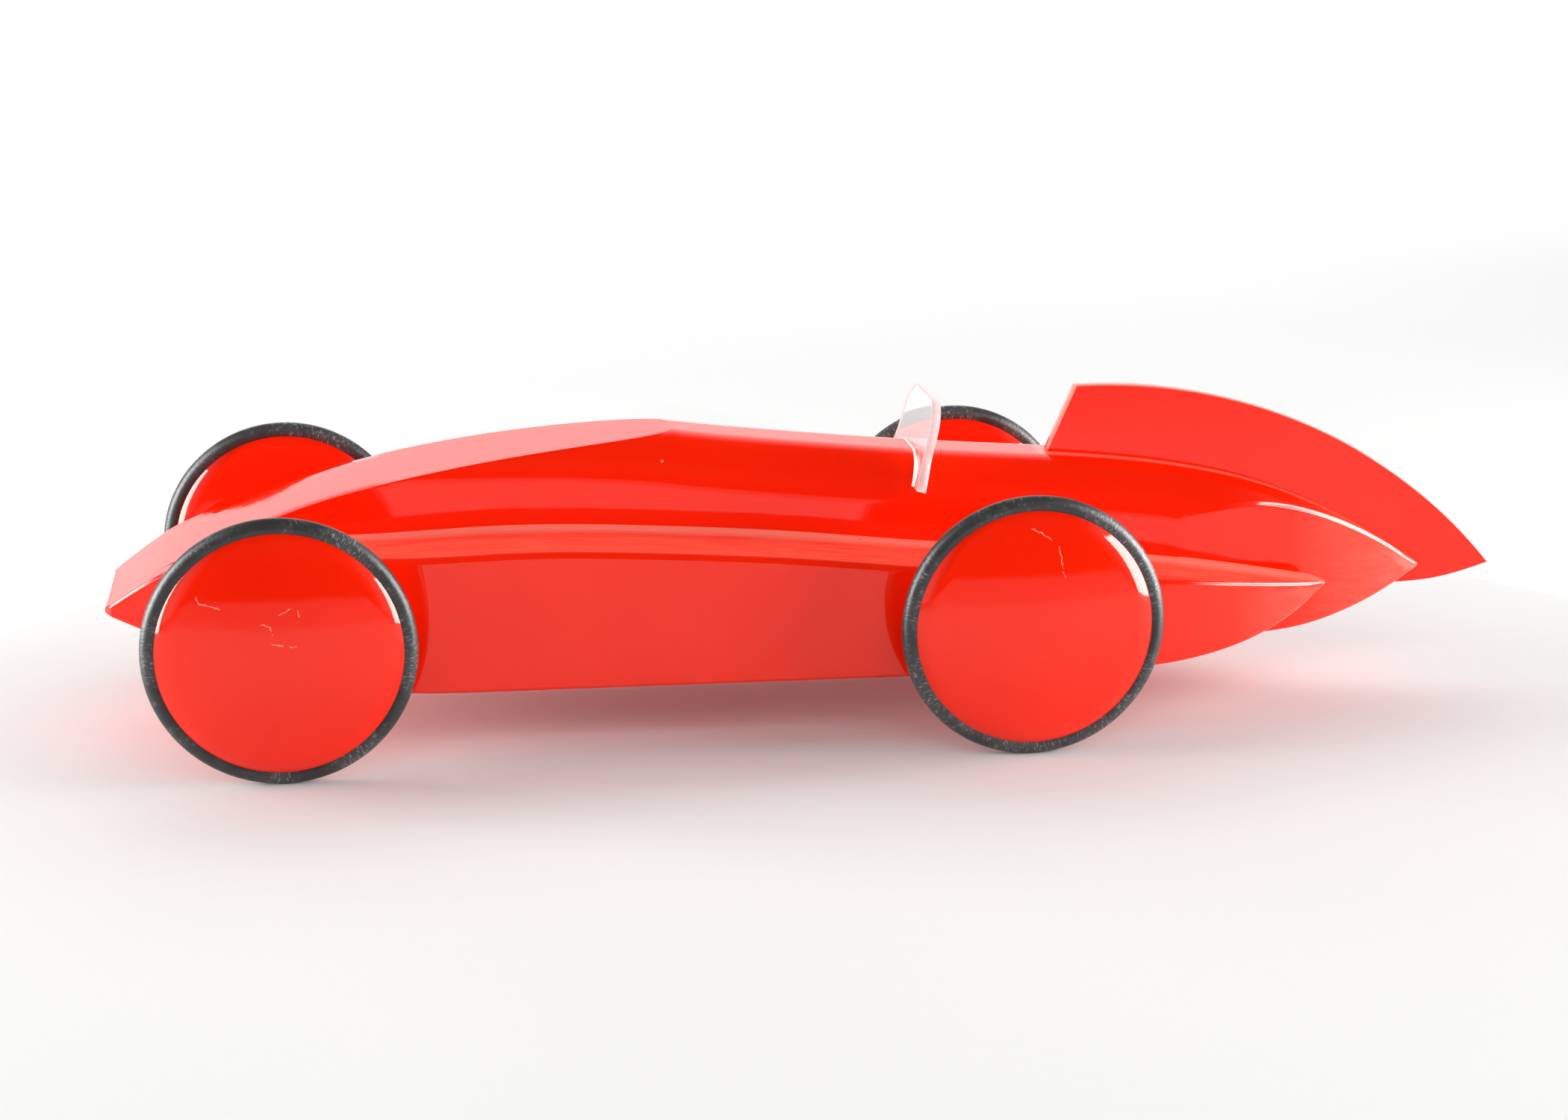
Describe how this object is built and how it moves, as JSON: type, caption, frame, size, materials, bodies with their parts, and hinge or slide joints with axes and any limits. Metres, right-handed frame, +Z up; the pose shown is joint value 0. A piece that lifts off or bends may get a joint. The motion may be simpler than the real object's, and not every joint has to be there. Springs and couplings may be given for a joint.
{
  "type": "pull back car",
  "caption": "Wooden pull back racing car: lacquered slab body with side pods, tail fin and clear windscreen, domed disc wheels with rubber ring tyres, spring motor on the rear axle.",
  "frame": {"origin": "on the ground, below the middle of the overall length, on the car's centre plane", "axes": "+X from nose to tail, +Y to the car's right, +Z up; both axles lie along Y"},
  "size_m": [0.3088, 0.103, 0.0699],
  "materials": {
    "red_lacquer": "opaque high-gloss red lacquer on wood",
    "clear_acrylic": "clear cast acrylic sheet, polished faces, sawn edges",
    "black_rubber": "satin black rubber cord",
    "bright_steel": "drawn steel rod",
    "spring_steel": "blued spring strip",
    "zinc_screw": "zinc plated steel",
    "brass_bush": "turned brass",
    "nylon_sleeve": "black nylon",
    "case_plastic": "moulded black plastic",
    "gear_plastic": "moulded white acetal",
    "beech_dowel": "plain beech"
  },
  "bodies": {
    "car_body": {"fuselage": "red_lacquer", "side_pod_left": "red_lacquer", "side_pod_right": "red_lacquer", "tail_fin": "red_lacquer", "windscreen": "clear_acrylic", "pod_dowels": "beech_dowel", "front_axle_bushes": "brass_bush", "motor_case_left": "case_plastic", "motor_case_right": "case_plastic", "motor_case_screws": "zinc_screw", "motor_mounting_screws": "zinc_screw", "gear_pin": "bright_steel", "spring_arbor": "bright_steel"},
    "front_wheelset": {"front_axle": "bright_steel", "front_axle_spacers": "nylon_sleeve", "front_wheel_left": "red_lacquer", "front_wheel_right": "red_lacquer", "front_tyre_left": "black_rubber", "front_tyre_right": "black_rubber"},
    "rear_wheelset": {"rear_axle": "bright_steel", "rear_axle_spacers": "nylon_sleeve", "rear_wheel_left": "red_lacquer", "rear_wheel_right": "red_lacquer", "rear_tyre_left": "black_rubber", "rear_tyre_right": "black_rubber", "axle_pinion": "bright_steel"},
    "gear_shaft": {"compound_gear": "gear_plastic"},
    "spring_drum": {"spring_barrel": "gear_plastic", "mainspring": "spring_steel", "barrel_lid": "bright_steel"}
  },
  "joints": [
    {"name": "front_axle_spin", "type": "hinge", "parent": "car_body", "child": "front_wheelset", "pos_m": [-0.1176, 0, 0.028], "axis": [0, 1, 0], "continuous": true},
    {"name": "rear_axle_spin", "type": "hinge", "parent": "car_body", "child": "rear_wheelset", "pos_m": [0.0384, 0, 0.028], "axis": [0, 1, 0], "continuous": true},
    {"name": "compound_gear_spin", "type": "hinge", "parent": "car_body", "child": "gear_shaft", "pos_m": [0.0274, 0, 0.028], "axis": [0, 1, 0], "continuous": true},
    {"name": "spring_barrel_spin", "type": "hinge", "parent": "car_body", "child": "spring_drum", "pos_m": [0.0159, 0, 0.028], "axis": [0, 1, 0], "continuous": true}
  ],
  "couplings": [
    {"joint": "compound_gear_spin", "follows": "rear_axle_spin", "ratio": -0.46667},
    {"joint": "spring_barrel_spin", "follows": "rear_axle_spin", "ratio": 0.16471}
  ]
}
